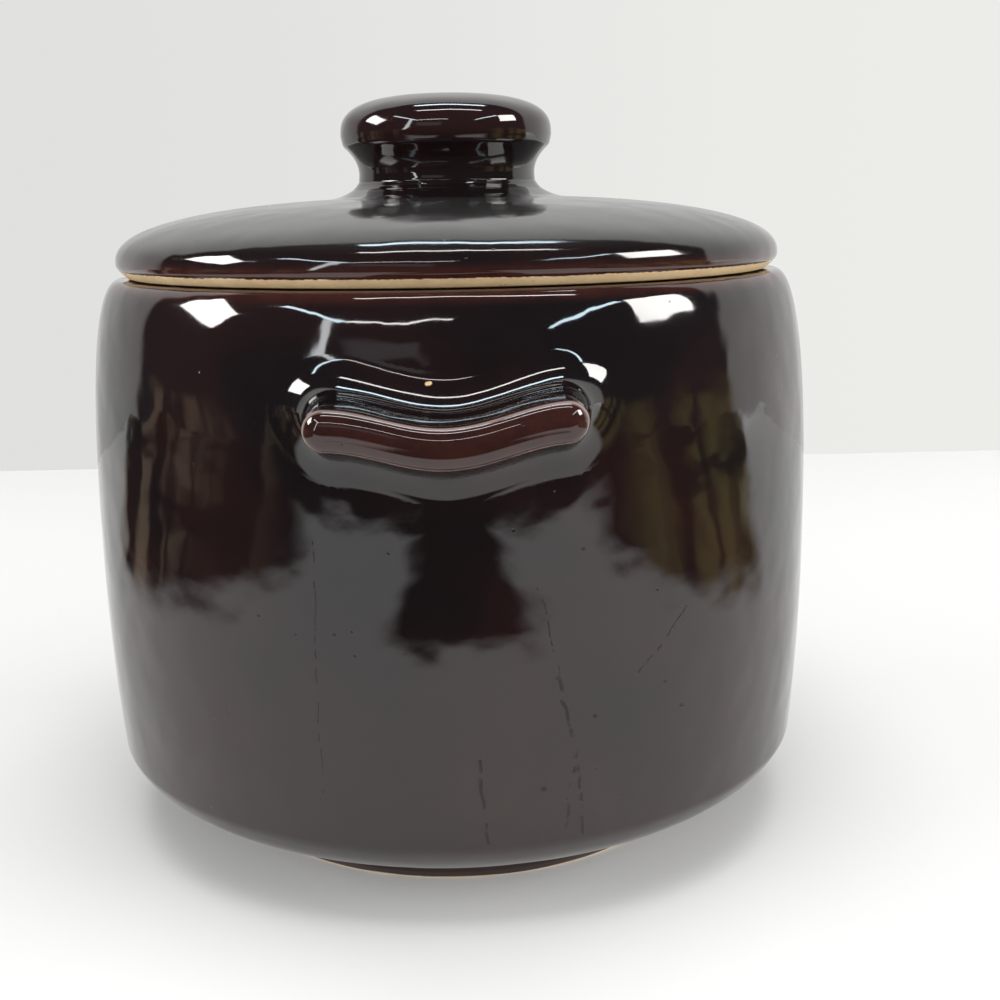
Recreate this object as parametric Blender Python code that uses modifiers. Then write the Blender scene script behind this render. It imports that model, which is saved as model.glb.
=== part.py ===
"""Stoneware bean pot: a barrel-shaped pot with a lug handle at each end, and a domed lid with a waisted knob.

Metres, +Z up. The origin is the middle of the foot, on the plane that the pot stands on. The lugs lie on -Y
and +Y. Heights called "rise" are measured up from the pot's rim, and all others from the foot.
"""
import math

import bmesh
import bpy

# Clearances between pieces
SEAT_GAP = 0.0003
FLANGE_CLEARANCE = 0.0015

# Pot, outside
BODY_RADIUS = 0.0950
BODY_HEIGHT = 0.1450
WIDEST_HEIGHT = 0.0710
RIM_OUTER_RADIUS = 0.0853
SHOULDER_FULLNESS = 2.5
LOWER_WALL_INSET = 0.0020
LOWER_WALL_HEIGHT = 0.0237
CORNER_REACH = 0.0520
CORNER_FULLNESS = 1.65
FOOT_RADIUS = 0.0640
FOOT_HEIGHT = 0.0022
FOOT_INSET = 0.0012
FOOT_WIDTH = 0.0080
BASE_RECESS = 0.0025

# Pot, inside
RIM_WIDTH = 0.0088
MOUTH_EDGE = 0.0015
LIP_DEPTH = 0.0030
WALL = 0.0070
FLOOR_THICKNESS = 0.0085
INNER_CORNER_REACH = 0.0460
INNER_CORNER_HEIGHT = 0.0220

# Lid
LID_OVERHANG = 0.0011
LID_EDGE_HEIGHT = 0.0040
DOME_HEIGHT = 0.0155
DOME_FULLNESS = 2.4
BAND_HEIGHT = 0.0024
BAND_INSET = 0.0029
FLANGE_DEPTH = 0.0070
FLANGE_WIDTH = 0.0055
FLANGE_TAPER = 0.0008
LID_THICKNESS = 0.0068
HOLLOW_FULLNESS = 2.2

# Knob
KNOB_SEAT_RADIUS = 0.0300
KNOB_TOE_INSET = 0.0008
NECK_RADIUS = 0.0232
NECK_LOWER_HEIGHT = 0.0061
NECK_UPPER_HEIGHT = 0.0070
NECK_LOWER_FLARE = 3.0
NECK_UPPER_FLARE = 2.0
CAP_RADIUS = 0.0277
CAP_EDGE_DROP = 0.0024
CAP_EDGE_INSET = 0.0005
CAP_CROWN = 0.0105
CAP_FULLNESS = 2.85

# Lug handles
LUG_REACH = 0.0220
LUG_HALF_WIDTH = 0.0277
LUG_HALF_THICKNESS = 0.0043
LUG_DROP = 0.0240
LUG_DIP = 0.0041
LUG_DIP_HALF_LENGTH = 0.0240
LUG_NOSE_BOW_RADIUS = 0.1600
LUG_NOSE_ROUND = 0.0034
LUG_EMBED = 0.0025
LUG_TILT = math.radians(1.0)
ROOT_RISE = 0.0078
ROOT_FALL = 0.0112
ROOT_SPREAD = 0.0100
ROOT_DEPTH_ABOVE = 0.0072
ROOT_DEPTH_BELOW = 0.0150
ROOT_DEPTH_SIDE = 0.0090

# Most that a rounding may take of the lug's half thickness, and the root's fillet of its length
NOSE_ROUND_LIMIT = 0.8
ROOT_DEPTH_LIMIT = 0.9

# How finely round stretches are divided
POT_STEPS = 64
KNOB_STEPS = 48
SHOULDER_STEPS = 8
WALL_STEPS = 3
CORNER_STEPS = 7
INNER_SHOULDER_STEPS = 6
INNER_WALL_STEPS = 2
INNER_CORNER_STEPS = 6
DOME_STEPS = 8
HOLLOW_STEPS = 6
CAP_STEPS = 7
NECK_STEPS = 5
LUG_EDGE_STEPS = 12
LUG_END_STEPS = 6
LUG_ROOT_STATIONS = 5
LUG_ROOT_GATHER = 1.6
LUG_NOSE_STATIONS = 3

MERGE_DISTANCE = 0.00001
SHARP_ANGLE = math.radians(35)

# Linear colours of the glaze, which is redder on the knob and the lugs, where it runs thin
POT_GLAZE = {"colour": (0.022, 0.010, 0.009), "roughness": 0.08}
KNOB_GLAZE = {"colour": (0.035, 0.014, 0.011), "roughness": 0.08}
LUG_GLAZE = {"colour": (0.055, 0.018, 0.013), "roughness": 0.08}

# What follows from the sizes above
LOWER_WALL_RADIUS = BODY_RADIUS - LOWER_WALL_INSET
MOUTH_RADIUS = RIM_OUTER_RADIUS - RIM_WIDTH
LID_RADIUS = RIM_OUTER_RADIUS + LID_OVERHANG
LUG_HEIGHT = BODY_HEIGHT - LUG_DROP


def superellipse(steps, fullness):
    """Shares of a quarter superellipse, from (0, 1) to (1, 0)."""
    shares = []
    for step in range(steps + 1):
        angle = 0.5 * math.pi * step / steps
        across = abs(math.sin(angle)) ** (2.0 / fullness)
        up = abs(math.cos(angle)) ** (2.0 / fullness)
        shares.append((across, up))
    return shares


def shoulder_radius(height):
    """Radius of the outer shoulder, which closes from the widest height to the rim."""
    share = min(max((height - WIDEST_HEIGHT) / (BODY_HEIGHT - WIDEST_HEIGHT), 0.0), 1.0)
    across = (1.0 - share ** SHOULDER_FULLNESS) ** (1.0 / SHOULDER_FULLNESS)
    return RIM_OUTER_RADIUS + (BODY_RADIUS - RIM_OUTER_RADIUS) * across


def shoulder_points(top_radius, wide_radius, steps):
    """Shoulder from the rim down to the widest height."""
    points = []
    for across, up in superellipse(steps, SHOULDER_FULLNESS):
        radius = top_radius + (wide_radius - top_radius) * across
        height = WIDEST_HEIGHT + (BODY_HEIGHT - WIDEST_HEIGHT) * up
        points.append((radius, height))
    return points


def wall_points(wide_radius, low_radius, low_height, steps):
    """Wall from below the widest height down to where the corner starts."""
    points = []
    for step in range(1, steps + 1):
        share = step / steps
        radius = wide_radius - (wide_radius - low_radius) * share ** 2
        height = WIDEST_HEIGHT - (WIDEST_HEIGHT - low_height) * share
        points.append((radius, height))
    return points


def corner_points(radius, height, reach, drop, steps, end_radius):
    """Corner that turns from the wall to the horizontal, stopped at the end radius."""
    points = []
    for inward, up in superellipse(steps, CORNER_FULLNESS)[1:]:
        corner_radius = radius - reach * (1.0 - up)
        if corner_radius <= end_radius:
            break
        points.append((corner_radius, height - drop * inward))
    return points


def outer_profile(clearance=0.0):
    """Outer side of the pot from the rim's outer edge to the foot, moved out by a clearance."""
    profile = shoulder_points(RIM_OUTER_RADIUS, BODY_RADIUS, SHOULDER_STEPS)
    profile += wall_points(BODY_RADIUS, LOWER_WALL_RADIUS, LOWER_WALL_HEIGHT, WALL_STEPS)
    drop = LOWER_WALL_HEIGHT - FOOT_HEIGHT
    profile += corner_points(LOWER_WALL_RADIUS, LOWER_WALL_HEIGHT, CORNER_REACH, drop,
                             CORNER_STEPS, FOOT_RADIUS)
    return [(radius + clearance, height) for radius, height in profile]


def inner_profile():
    """Inner side of the pot from the mouth down to the middle of its floor."""
    wide = BODY_RADIUS - WALL
    low = LOWER_WALL_RADIUS - WALL
    low_height = FLOOR_THICKNESS + INNER_CORNER_HEIGHT
    shoulder = shoulder_points(MOUTH_RADIUS, wide, INNER_SHOULDER_STEPS)
    profile = [(MOUTH_RADIUS + MOUTH_EDGE, BODY_HEIGHT), (MOUTH_RADIUS, BODY_HEIGHT - MOUTH_EDGE)]
    profile += [point for point in shoulder if point[1] < BODY_HEIGHT - LIP_DEPTH]
    profile += wall_points(wide, low, low_height, INNER_WALL_STEPS)
    profile += corner_points(low, low_height, INNER_CORNER_REACH, INNER_CORNER_HEIGHT,
                             INNER_CORNER_STEPS, 0.0)
    profile.append((0.0, FLOOR_THICKNESS))
    return profile


def pot_profile():
    """Pot from the middle of its floor, up inside, over the rim, down outside and under the foot."""
    inside = list(reversed(inner_profile()))
    foot_outer = FOOT_RADIUS - FOOT_INSET
    foot_inner = foot_outer - FOOT_WIDTH
    foot = [
        (FOOT_RADIUS, FOOT_HEIGHT),
        (foot_outer, 0.0),
        (foot_inner, 0.0),
        (foot_inner - BASE_RECESS, BASE_RECESS),
        (0.0, BASE_RECESS),
    ]
    return inside + outer_profile() + foot


def dome_rise(radius):
    """Rise of the lid's top at a radius."""
    share = min(radius / LID_RADIUS, 1.0)
    up = (1.0 - share ** DOME_FULLNESS) ** (1.0 / DOME_FULLNESS)
    return LID_EDGE_HEIGHT + DOME_HEIGHT * up


def dome_points():
    """Top of the lid from the knob's seat to its widest edge."""
    points = []
    for across, up in superellipse(DOME_STEPS, DOME_FULLNESS):
        radius = LID_RADIUS * across
        if radius > KNOB_SEAT_RADIUS:
            points.append((radius, LID_EDGE_HEIGHT + DOME_HEIGHT * up))
    return points


def lid_profile():
    """Lid from the knob's seat, out over the dome, down to the band, along the seat and under the hollow."""
    seat_rise = dome_rise(KNOB_SEAT_RADIUS)
    band_share = math.sqrt(BAND_HEIGHT / LID_EDGE_HEIGHT)
    flange_outer = MOUTH_RADIUS - FLANGE_CLEARANCE
    flange_inner = flange_outer - FLANGE_WIDTH
    profile = [(0.0, seat_rise), (KNOB_SEAT_RADIUS, seat_rise)]
    profile += dome_points()
    profile += [
        (LID_RADIUS - BAND_INSET * (1.0 - band_share), BAND_HEIGHT),
        (LID_RADIUS - BAND_INSET, SEAT_GAP),
        (flange_outer, SEAT_GAP),
        (flange_outer - FLANGE_TAPER, -FLANGE_DEPTH),
        (flange_inner, -FLANGE_DEPTH),
    ]
    hollow_rise = seat_rise - LID_THICKNESS
    for across, up in reversed(superellipse(HOLLOW_STEPS, HOLLOW_FULLNESS)):
        profile.append((flange_inner * across, hollow_rise * up))
    return profile


def neck_points(waist_rise, end_rise, end_radius, flare):
    """Neck from its waist to one end, flaring out to the end's radius."""
    points = []
    for step in range(NECK_STEPS + 1):
        share = step / NECK_STEPS
        radius = NECK_RADIUS + (end_radius - NECK_RADIUS) * share ** flare
        points.append((radius, waist_rise + (end_rise - waist_rise) * share))
    return points


def knob_profile():
    """Knob from the middle of its cap, over the cap's edge and down the waisted neck to its toe on the dome."""
    toe_rise = dome_rise(KNOB_SEAT_RADIUS) + SEAT_GAP
    waist_rise = toe_rise + NECK_LOWER_HEIGHT
    edge_rise = waist_rise + NECK_UPPER_HEIGHT
    widest_rise = edge_rise + CAP_EDGE_DROP
    profile = []
    for across, up in superellipse(CAP_STEPS, CAP_FULLNESS):
        profile.append((CAP_RADIUS * across, widest_rise + CAP_CROWN * up))
    upper_neck = neck_points(waist_rise, edge_rise, CAP_RADIUS - CAP_EDGE_INSET, NECK_UPPER_FLARE)
    lower_neck = neck_points(waist_rise, toe_rise, KNOB_SEAT_RADIUS - KNOB_TOE_INSET, NECK_LOWER_FLARE)
    profile += list(reversed(upper_neck)) + lower_neck[1:]
    profile.append((0.0, toe_rise))
    return profile


def turned(name, profile, steps, collection, carrier=None):
    """Closed turned solid whose profile starts and ends on the axis of its carrier."""
    mesh = bpy.data.meshes.new(name)
    vertices = [(radius, 0.0, level) for radius, level in profile]
    edges = [(index, index + 1) for index in range(len(vertices) - 1)]
    mesh.from_pydata(vertices, edges, [])
    piece = bpy.data.objects.new(name, mesh)
    piece.parent = carrier
    collection.objects.link(piece)
    screw = piece.modifiers.new("Turned", "SCREW")
    screw.angle = 2.0 * math.pi
    screw.steps = steps
    screw.render_steps = steps
    screw.use_merge_vertices = True
    screw.merge_threshold = MERGE_DISTANCE
    screw.use_smooth_shade = True
    return piece


def lug_middle_drop(across):
    """How far the lug's middle line dips below its ends, at a distance from its centre."""
    share = min(abs(across) / LUG_DIP_HALF_LENGTH, 1.0)
    return LUG_DIP * 0.5 * (1.0 + math.cos(math.pi * share))


def lug_outline():
    """Directions round the lug's section: (middle x, share across, share up) of each point."""
    run = LUG_HALF_WIDTH - LUG_HALF_THICKNESS
    outline = []
    for side in (1, -1):
        for step in range(LUG_EDGE_STEPS + 1):
            middle = side * run * (1.0 - 2.0 * step / LUG_EDGE_STEPS)
            outline.append((middle, 0.0, float(side)))
        for step in range(1, LUG_END_STEPS):
            angle = math.pi * step / LUG_END_STEPS
            outline.append((-side * run, -side * math.sin(angle), side * math.cos(angle)))
    return outline


def root_growth(distance, depth, growth):
    """Growth of the root's fillet at a distance from the wall."""
    if distance >= depth:
        return 0.0
    share = 1.0 - max(distance, 0.0) / depth
    return growth * (1.0 - math.sqrt(1.0 - share ** 2))


def lug_stations():
    """Places along the lug from inside the wall to its nose: (distance from the wall, nose inset)."""
    nose_round = min(LUG_NOSE_ROUND, NOSE_ROUND_LIMIT * LUG_HALF_THICKNESS)
    root_depth = max(ROOT_DEPTH_ABOVE, ROOT_DEPTH_BELOW, ROOT_DEPTH_SIDE)
    root_end = min(root_depth, ROOT_DEPTH_LIMIT * (LUG_REACH - nose_round))
    stations = [(-LUG_EMBED, 0.0)]
    for step in range(LUG_ROOT_STATIONS + 1):
        stations.append((root_end * (step / LUG_ROOT_STATIONS) ** LUG_ROOT_GATHER, 0.0))
    for step in range(LUG_NOSE_STATIONS + 1):
        angle = 0.5 * math.pi * step / LUG_NOSE_STATIONS
        back = nose_round * (1.0 - math.sin(angle))
        inset = nose_round * (1.0 - math.cos(angle))
        stations.append((LUG_REACH - back, inset))
    return stations


def lug_point(outline_point, distance, inset):
    """Point of the lug's skin, before its tilt, in the pot's frame on the -Y side."""
    middle, across, up = outline_point
    above = root_growth(distance, ROOT_DEPTH_ABOVE, ROOT_RISE)
    below = root_growth(distance, ROOT_DEPTH_BELOW, ROOT_FALL)
    spread = root_growth(distance, ROOT_DEPTH_SIDE, ROOT_SPREAD)
    half = LUG_HALF_THICKNESS - inset
    x = middle + across * (half + spread)
    offset = up * (half + (above if up > 0.0 else below))
    z = LUG_HEIGHT - lug_middle_drop(middle) + offset
    wall = math.sqrt(shoulder_radius(z) ** 2 - x ** 2)
    share = max(distance, 0.0) / LUG_REACH
    nose = BODY_RADIUS + LUG_REACH - x ** 2 / (2.0 * LUG_NOSE_BOW_RADIUS)
    y = wall + (nose - wall) * share + min(distance, 0.0)
    return x, -y, z


def lug_mesh(name):
    """Loft of the lug through its stations, closed at both ends."""
    outline = lug_outline()
    mesh = bmesh.new()
    rings = []
    for distance, inset in lug_stations():
        ring = [mesh.verts.new(lug_point(point, distance, inset)) for point in outline]
        rings.append(ring)
    count = len(outline)
    for ring, following in zip(rings, rings[1:]):
        for index in range(count):
            after = (index + 1) % count
            mesh.faces.new((ring[index], ring[after], following[after], following[index]))
    mesh.faces.new(list(reversed(rings[0])))
    mesh.faces.new(rings[-1])
    bmesh.ops.recalc_face_normals(mesh, faces=mesh.faces)
    data = bpy.data.meshes.new(name)
    mesh.to_mesh(data)
    mesh.free()
    return data


def lug(name, turn, tilt, collection, cutter):
    """Lug handle, tilted in its own face, turned to its end of the pot and cut to the pot's wall."""
    data = lug_mesh(name)
    for vertex in data.vertices:
        x = vertex.co.x
        z = vertex.co.z - LUG_HEIGHT
        vertex.co.x = x * math.cos(tilt) - z * math.sin(tilt)
        vertex.co.z = x * math.sin(tilt) + z * math.cos(tilt)
    piece = bpy.data.objects.new(name, data)
    piece.location = (0.0, 0.0, LUG_HEIGHT)
    piece.rotation_euler = (0.0, 0.0, turn)
    collection.objects.link(piece)
    cut = piece.modifiers.new("Cut to the wall", "BOOLEAN")
    cut.operation = "DIFFERENCE"
    cut.solver = "EXACT"
    cut.object = cutter
    data.shade_smooth()
    data.set_sharp_from_angle(angle=SHARP_ANGLE)
    return piece


def wall_cutter(collection):
    """Solid that fills the pot's outside, larger by the seat gap."""
    outside = outer_profile(SEAT_GAP / math.cos(math.pi / POT_STEPS))
    profile = [(0.0, outside[0][1])] + outside + [(0.0, outside[-1][1])]
    cutter = turned("wall_cutter", profile, POT_STEPS, collection)
    cutter.hide_render = True
    cutter.display_type = "WIRE"
    return cutter


def coat(piece, name, glaze):
    """Cover a piece in a glossy glaze of its own."""
    material = bpy.data.materials.new(name)
    material.use_nodes = True
    shader = material.node_tree.nodes["Principled BSDF"]
    shader.inputs["Base Color"].default_value = (*glaze["colour"], 1.0)
    shader.inputs["Roughness"].default_value = glaze["roughness"]
    shader.inputs["Metallic"].default_value = 0.0
    material.diffuse_color = (*glaze["colour"], 1.0)
    piece.data.materials.append(material)


def main():
    for existing in list(bpy.data.objects):
        bpy.data.objects.remove(existing, do_unlink=True)
    parts = bpy.data.collections.new("bean_pot")
    cutters = bpy.data.collections.new("cutters")
    bpy.context.scene.collection.children.link(parts)
    bpy.context.scene.collection.children.link(cutters)

    coat(turned("pot_body", pot_profile(), POT_STEPS, parts), "pot_glaze", POT_GLAZE)

    cutter = wall_cutter(cutters)
    coat(lug("handle_front", 0.0, LUG_TILT, parts, cutter), "front_handle_glaze", LUG_GLAZE)
    coat(lug("handle_rear", math.pi, 0.0, parts, cutter), "rear_handle_glaze", LUG_GLAZE)

    lift_axis = bpy.data.objects.new("lid_lift_axis", None)
    lift_axis.location = (0.0, 0.0, BODY_HEIGHT)
    parts.objects.link(lift_axis)
    coat(turned("lid", lid_profile(), POT_STEPS, parts, lift_axis), "lid_glaze", POT_GLAZE)
    coat(turned("lid_knob", knob_profile(), KNOB_STEPS, parts, lift_axis), "knob_glaze", KNOB_GLAZE)


main()
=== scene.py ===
"""Looks of the stoneware bean pot: dark brown gloss glaze over tan clay, on a pale table in a plain studio.

Metres, +Z up, in the frame's own axes. Profiles are lists of (radius, height) about the pot's turning axis.
A pair that is fed to a ramp gives the two ends of a soft change.
"""
import math

import bmesh
import bpy
from mathutils import Matrix, Vector


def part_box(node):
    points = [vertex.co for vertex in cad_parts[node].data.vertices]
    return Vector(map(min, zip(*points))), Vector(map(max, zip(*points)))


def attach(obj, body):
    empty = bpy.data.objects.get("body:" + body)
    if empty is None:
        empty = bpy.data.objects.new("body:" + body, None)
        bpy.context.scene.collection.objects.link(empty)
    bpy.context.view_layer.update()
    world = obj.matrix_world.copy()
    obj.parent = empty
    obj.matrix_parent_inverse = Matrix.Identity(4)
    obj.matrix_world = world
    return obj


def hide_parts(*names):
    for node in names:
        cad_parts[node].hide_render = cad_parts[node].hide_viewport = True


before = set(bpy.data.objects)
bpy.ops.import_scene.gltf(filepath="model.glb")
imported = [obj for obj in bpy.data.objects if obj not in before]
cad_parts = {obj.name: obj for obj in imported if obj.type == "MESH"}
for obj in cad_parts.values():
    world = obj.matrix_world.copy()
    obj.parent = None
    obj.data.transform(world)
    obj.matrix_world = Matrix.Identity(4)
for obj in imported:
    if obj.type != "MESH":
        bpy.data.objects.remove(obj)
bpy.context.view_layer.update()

# Sizes that the frame gives
BODY_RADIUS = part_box("pot_body")[1].x
BODY_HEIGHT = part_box("pot_body")[1].z
LID_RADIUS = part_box("lid")[1].x
FLANGE_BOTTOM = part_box("lid")[0].z
KNOB_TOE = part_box("lid_knob")[0].z
KNOB_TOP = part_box("lid_knob")[1].z
TOE_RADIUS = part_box("lid_knob")[1].x
LUG_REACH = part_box("handle_rear")[1].y - BODY_RADIUS

# Pot, as the frame's solid is drawn, with softer edges
WIDEST_HEIGHT = 0.0710
RIM_OUTER_RADIUS = 0.0853
MOUTH_RADIUS = 0.0765
MOUTH_EDGE = 0.0015
LIP_DROP = 1.6 * MOUTH_EDGE
LIP_ROUND = 0.0007
LIP_ANGLE = math.radians(30)
SHOULDER_FULLNESS = 2.5
LOWER_WALL_INSET = 0.0020
LOWER_WALL_HEIGHT = 0.0237
CORNER_REACH = 0.0520
CORNER_FULLNESS = 1.65
WALL = 0.0070
FLOOR_THICKNESS = 0.0085
FLAT_RADIUS = 0.0200
INNER_CORNER_REACH = 0.0460
INNER_CORNER_HEIGHT = 0.0220
FOOT_RADIUS = 0.0640
FOOT_HEIGHT = 0.0022
FOOT_INSET = 0.0012
FOOT_WIDTH = 0.0080
FOOT_FILLET = 0.0015
FOOT_FILLET_DROP = 0.0008
FOOT_FILLET_ROUND = 0.0006
FOOT_TOP_ROUND = 0.0005
FOOT_EDGE_ROUND = 0.0004
BASE_RECESS = 0.0025
BASE_RECESS_ROUND = 0.0008

# Lid
LID_EDGE_HEIGHT = 0.0040
DOME_HEIGHT = 0.0155
DOME_FULLNESS = 2.4
DOME_START = 0.0260
BAND_HEIGHT = 0.0024
BAND_TOP_INSET = 0.00065
BAND_TOP_ROUND = 0.00008
BAND_INSET = 0.0029
GLAZE_ROLL = 0.00022
GLAZE_ROLL_DROP = 0.0002
GLAZE_ROLL_ROUND = 0.00012
SEAT_GAP = 0.0003
SEAT_ROUND = 0.0004
FLANGE_CLEARANCE = 0.0015
FLANGE_WIDTH = 0.0055
FLANGE_TAPER = 0.0008
FLANGE_ROUND = 0.0009
LID_THICKNESS = 0.0068
HOLLOW_FULLNESS = 2.2
HOLLOW_START_DROP = 0.0005

# Knob
NECK_RADIUS = 0.0232
NECK_LOWER_HEIGHT = 0.0061
NECK_UPPER_HEIGHT = 0.0070
NECK_LOWER_FLARE = 3.0
NECK_UPPER_FLARE = 2.0
NECK_UPPER_END = 0.86
TOE_REACH = 0.0038
TOE_END_RADIUS = TOE_RADIUS + TOE_REACH
TOE_BLEND = 0.0006
TOE_SINK = 0.00012
CAP_RADIUS = 0.0277
CAP_EDGE_RISE = 0.0024
CAP_EDGE_INSET = 0.0005
CAP_EDGE_ROUND = 0.0007
CAP_FULLNESS = 2.85
KNOB_BASE_DEPTH = 0.0006
TOOL_RING_DEPTH = 0.00013
TOOL_RING_PITCH = 0.0021
TOOL_RING_START = 0.0008

# Lug handles
LUG_HALF_WIDTH = 0.0277
LUG_HALF_THICKNESS = 0.0043
LUG_BELOW_RIM = 0.0240
LUG_HEIGHT = BODY_HEIGHT - LUG_BELOW_RIM
LUG_DIP = 0.0041
LUG_DIP_HALF_LENGTH = 0.0240
LUG_NOSE_BOW_RADIUS = 0.1600
LUG_NOSE_ROUND = 0.0034
LUG_NOSE_FULLNESS = 2.4
LUG_TILT = math.radians(1.0)
ROOT_RISE = 0.0078
ROOT_FALL = 0.0112
ROOT_SPREAD = 0.0100
ROOT_DEPTH_ABOVE = 0.0072
ROOT_DEPTH_BELOW = 0.0150
ROOT_DEPTH_SIDE = 0.0090
ROOT_CROWDING = 2.2
ROOT_TOE = 0.0016
ROOT_SINK = 0.00006
ROOT_INSIDE = 0.0010

# Unevenness of the glazed wall, always inward, in waves of (count, change with height, start, share)
WOBBLE = 0.00007
WOBBLE_WAVES = (
    (3.0, 40.0, 0.6, 1.0),
    (7.0, -65.0, 2.1, 0.7),
    (13.0, 130.0, 0.0, 0.5),
    (5.0, 210.0, 4.0, 0.4),
)
WOBBLE_PEAK = 2.6

# Steps round the turned pieces and along every profile
POT_STEPS = 288
KNOB_STEPS = 192
INNER_SHOULDER_STEPS = 30
INNER_WALL_STEPS = 12
INNER_CORNER_STEPS = 30
OUTER_SHOULDER_STEPS = 60
OUTER_WALL_STEPS = 24
OUTER_CORNER_STEPS = 44
DOME_STEPS = 150
LID_EDGE_STEPS = 6
HOLLOW_STEPS = 40
CAP_STEPS = 48
NECK_UPPER_STEPS = 26
NECK_LOWER_STEPS = 64
TOE_LAST_STEP = 80
LUG_EDGE_STEPS = 56
LUG_END_STEPS = 22
LUG_ROOT_STEPS = 26
LUG_STRAIGHT_STEPS = 4
LUG_NOSE_STEPS = 20
MERGE_DISTANCE = 1e-7
ON_AXIS = 1e-6


# Profiles

def superellipse(steps, fullness, start=0.0):
    """Shares of a quarter superellipse, from the start angle, where 0 is (0, 1), to (1, 0)."""
    shares = []
    for step in range(steps + 1):
        angle = start + (0.5 * math.pi - start) * step / steps
        across = abs(math.sin(angle)) ** (2.0 / fullness)
        up = abs(math.cos(angle)) ** (2.0 / fullness)
        shares.append((across, up))
    return shares


def shoulder_radius(height):
    """Radius of the pot's outside at a height above its lower wall."""
    if height < WIDEST_HEIGHT:
        share = (WIDEST_HEIGHT - height) / (WIDEST_HEIGHT - LOWER_WALL_HEIGHT)
        return BODY_RADIUS - LOWER_WALL_INSET * share ** 2
    share = min((height - WIDEST_HEIGHT) / (BODY_HEIGHT - WIDEST_HEIGHT), 1.0)
    across = (1.0 - share ** SHOULDER_FULLNESS) ** (1.0 / SHOULDER_FULLNESS)
    return RIM_OUTER_RADIUS + (BODY_RADIUS - RIM_OUTER_RADIUS) * across


def shoulder(top_radius, wide_radius, steps, start=0.0):
    """Shoulder from the rim down to the widest height."""
    rise = BODY_HEIGHT - WIDEST_HEIGHT
    return [(top_radius + (wide_radius - top_radius) * across, WIDEST_HEIGHT + rise * up)
            for across, up in superellipse(steps, SHOULDER_FULLNESS, start)]


def wall(wide_radius, low_radius, low_height, steps):
    """Wall from below the widest height down to where the corner starts."""
    points = []
    for step in range(1, steps + 1):
        share = step / steps
        radius = wide_radius - (wide_radius - low_radius) * share ** 2
        points.append((radius, WIDEST_HEIGHT - (WIDEST_HEIGHT - low_height) * share))
    return points


def corner(radius, height, reach, drop, steps, end_radius):
    """Corner that turns from the wall to the horizontal, stopped at the end radius."""
    points = []
    for inward, up in superellipse(steps, CORNER_FULLNESS)[1:]:
        corner_radius = radius - reach * (1.0 - up)
        if corner_radius <= end_radius:
            break
        points.append((corner_radius, height - drop * inward))
    return points


def rounded(corners, steps=6, support=0.0002):
    """Line through (radius, height, rounding) corners, each one turned in a soft curve."""
    points = []
    for index, (x, y, rounding) in enumerate(corners):
        here = Vector((x, y))
        if rounding == 0.0 or index in (0, len(corners) - 1):
            points.append((x, y))
            continue
        before = (Vector(corners[index - 1][:2]) - here).normalized()
        after = (Vector(corners[index + 1][:2]) - here).normalized()
        points.append(tuple(here + before * (rounding + support)))
        for step in range(steps + 1):
            share = step / steps
            start = here + before * rounding * (1.0 - share) ** 2
            points.append(tuple(start + after * rounding * share ** 2))
        points.append(tuple(here + after * (rounding + support)))
    return points


def pot_profile():
    """Pot from the middle of its floor, up inside, over the rim, down outside and under the foot."""
    low_radius = BODY_RADIUS - LOWER_WALL_INSET
    inner_low = low_radius - WALL
    inner_low_height = FLOOR_THICKNESS + INNER_CORNER_HEIGHT
    inside = shoulder(MOUTH_RADIUS, BODY_RADIUS - WALL, INNER_SHOULDER_STEPS, LIP_ANGLE)
    lip = rounded([
        (RIM_OUTER_RADIUS, BODY_HEIGHT, 0.0),
        (MOUTH_RADIUS, BODY_HEIGHT, MOUTH_EDGE),
        (MOUTH_RADIUS, BODY_HEIGHT - LIP_DROP, LIP_ROUND),
        (*inside[0], 0.0),
    ])
    inside = lip[1:-1] + inside
    inside += wall(BODY_RADIUS - WALL, inner_low, inner_low_height, INNER_WALL_STEPS)
    inside += corner(inner_low, inner_low_height, INNER_CORNER_REACH, INNER_CORNER_HEIGHT,
                     INNER_CORNER_STEPS, 0.0)
    inside += [(FLAT_RADIUS, FLOOR_THICKNESS), (0.0, FLOOR_THICKNESS)]
    outside = shoulder(RIM_OUTER_RADIUS, BODY_RADIUS, OUTER_SHOULDER_STEPS)
    outside += wall(BODY_RADIUS, low_radius, LOWER_WALL_HEIGHT, OUTER_WALL_STEPS)
    outside += corner(low_radius, LOWER_WALL_HEIGHT, CORNER_REACH, LOWER_WALL_HEIGHT - FOOT_HEIGHT,
                      OUTER_CORNER_STEPS, FOOT_RADIUS + FOOT_FILLET)
    foot_outer = FOOT_RADIUS - FOOT_INSET
    foot_inner = foot_outer - FOOT_WIDTH
    foot = rounded([
        (*outside[-1], 0.0),
        (FOOT_RADIUS, outside[-1][1] - FOOT_FILLET_DROP, FOOT_FILLET_ROUND),
        (FOOT_RADIUS, FOOT_HEIGHT, FOOT_TOP_ROUND),
        (foot_outer, 0.0, FOOT_EDGE_ROUND),
        (foot_inner, 0.0, FOOT_EDGE_ROUND),
        (foot_inner - BASE_RECESS, BASE_RECESS, BASE_RECESS_ROUND),
        (FLAT_RADIUS, BASE_RECESS, 0.0),
        (0.0, BASE_RECESS, 0.0),
    ])
    return list(reversed(inside)) + outside + foot[1:]


def dome_height(radius):
    """Height of the lid's top at a radius."""
    share = min(radius / LID_RADIUS, 1.0)
    up = (1.0 - share ** DOME_FULLNESS) ** (1.0 / DOME_FULLNESS)
    return BODY_HEIGHT + LID_EDGE_HEIGHT + DOME_HEIGHT * up


def edge_radius(rise):
    """Radius of the lid's rounded edge, between its widest line and its bare band."""
    share = (LID_EDGE_HEIGHT - rise) / (LID_EDGE_HEIGHT - BAND_HEIGHT)
    return LID_RADIUS - BAND_TOP_INSET * share ** 2


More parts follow.
